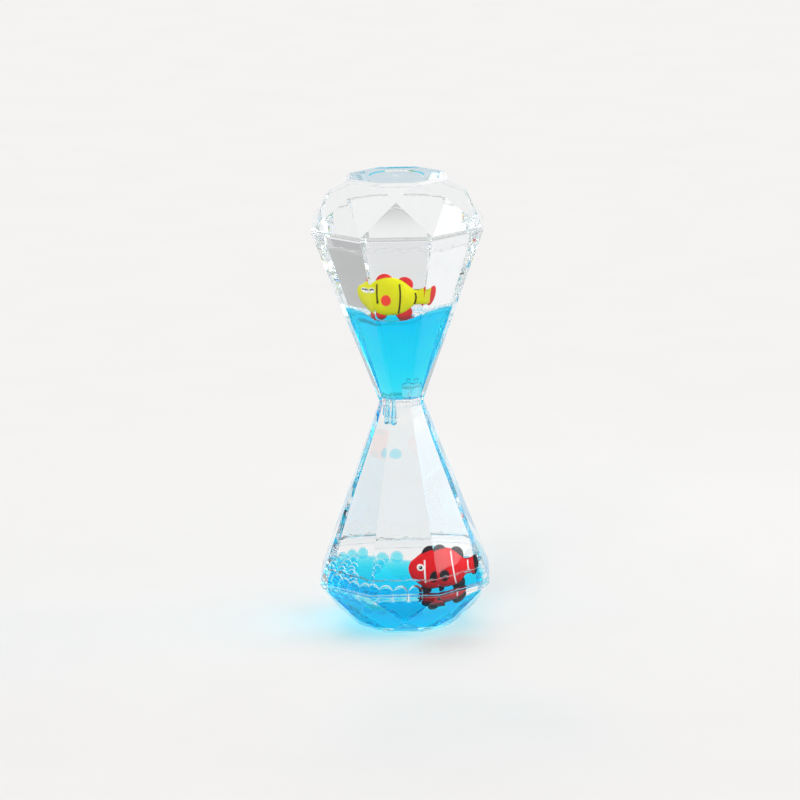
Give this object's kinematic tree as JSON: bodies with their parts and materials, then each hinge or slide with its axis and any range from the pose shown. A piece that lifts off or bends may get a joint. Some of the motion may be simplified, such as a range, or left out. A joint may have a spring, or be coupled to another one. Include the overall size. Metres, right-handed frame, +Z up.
{
  "type": "liquid motion timer",
  "caption": "Liquid motion timer of clear faceted gem chambers joined point to point at a drip neck, with dyed water, clear oil and fish floats sealed inside.",
  "frame": {"origin": "middle of the foot's flat face, where the timer stands", "axes": "+Z up along the vessel's axis, -Y towards the viewer of the picture, +X to the right"},
  "size_m": [0.05, 0.05, 0.135],
  "materials": {
    "clear_plastic": "polished",
    "dyed_water": "polished",
    "clear_oil": "polished",
    "yellow_plastic": "satin",
    "red_plastic": "satin",
    "red_fin_plastic": "satin",
    "black_fin_plastic": "satin",
    "steel": "satin"
  },
  "bodies": {
    "vessel": {"lower_crown": "clear_plastic", "upper_crown": "clear_plastic", "lower_fill_plug": "clear_plastic", "upper_fill_plug": "clear_plastic", "lower_chamber": "clear_plastic", "upper_chamber": "clear_plastic", "nozzle_plate": "clear_plastic", "drip_nozzle": "clear_plastic", "riser_nozzle": "clear_plastic", "upper_dyed_water": "dyed_water", "lower_dyed_water": "dyed_water", "upper_clear_oil": "clear_oil", "lower_clear_oil": "clear_oil"},
    "upper_beads": {"upper_bead_raft": "dyed_water"},
    "yellow_fish": {"yellow_fish_near_half": "yellow_plastic", "yellow_fish_far_half": "yellow_plastic", "yellow_fish_fins": "red_fin_plastic", "yellow_fish_ballast": "steel"},
    "lower_beads": {"lower_bead_raft": "dyed_water"},
    "red_fish": {"red_fish_near_half": "red_plastic", "red_fish_far_half": "red_plastic", "red_fish_fins": "black_fin_plastic", "red_fish_ballast": "steel"},
    "drop": {"falling_drop": "dyed_water"}
  },
  "joints": [
    {"name": "upper_beads_drift", "type": "hinge", "parent": "vessel", "child": "upper_beads", "pos_m": [0, 0, 0.0975], "axis": [0, 0, 1], "continuous": true, "deforming": ["upper_dyed_water", "upper_clear_oil"]},
    {"name": "yellow_fish_rise", "type": "slide", "parent": "upper_beads", "child": "yellow_fish", "axis": [0, -0.3363, 0.9417], "range_m": [-0.005, 0.01]},
    {"name": "lower_beads_drift", "type": "hinge", "parent": "vessel", "child": "lower_beads", "pos_m": [0, 0, 0.0125], "axis": [0, 0, 1], "continuous": true, "deforming": ["lower_dyed_water", "lower_clear_oil"]},
    {"name": "red_fish_rise", "type": "slide", "parent": "lower_beads", "child": "red_fish", "axis": [-0.2383, 0.045, 0.9701], "range_m": [-0.002, 0.007]},
    {"name": "drop_fall", "type": "slide", "parent": "vessel", "child": "drop", "axis": [0, 0, -1], "range_m": [-0.0055, 0.0355]}
  ]
}
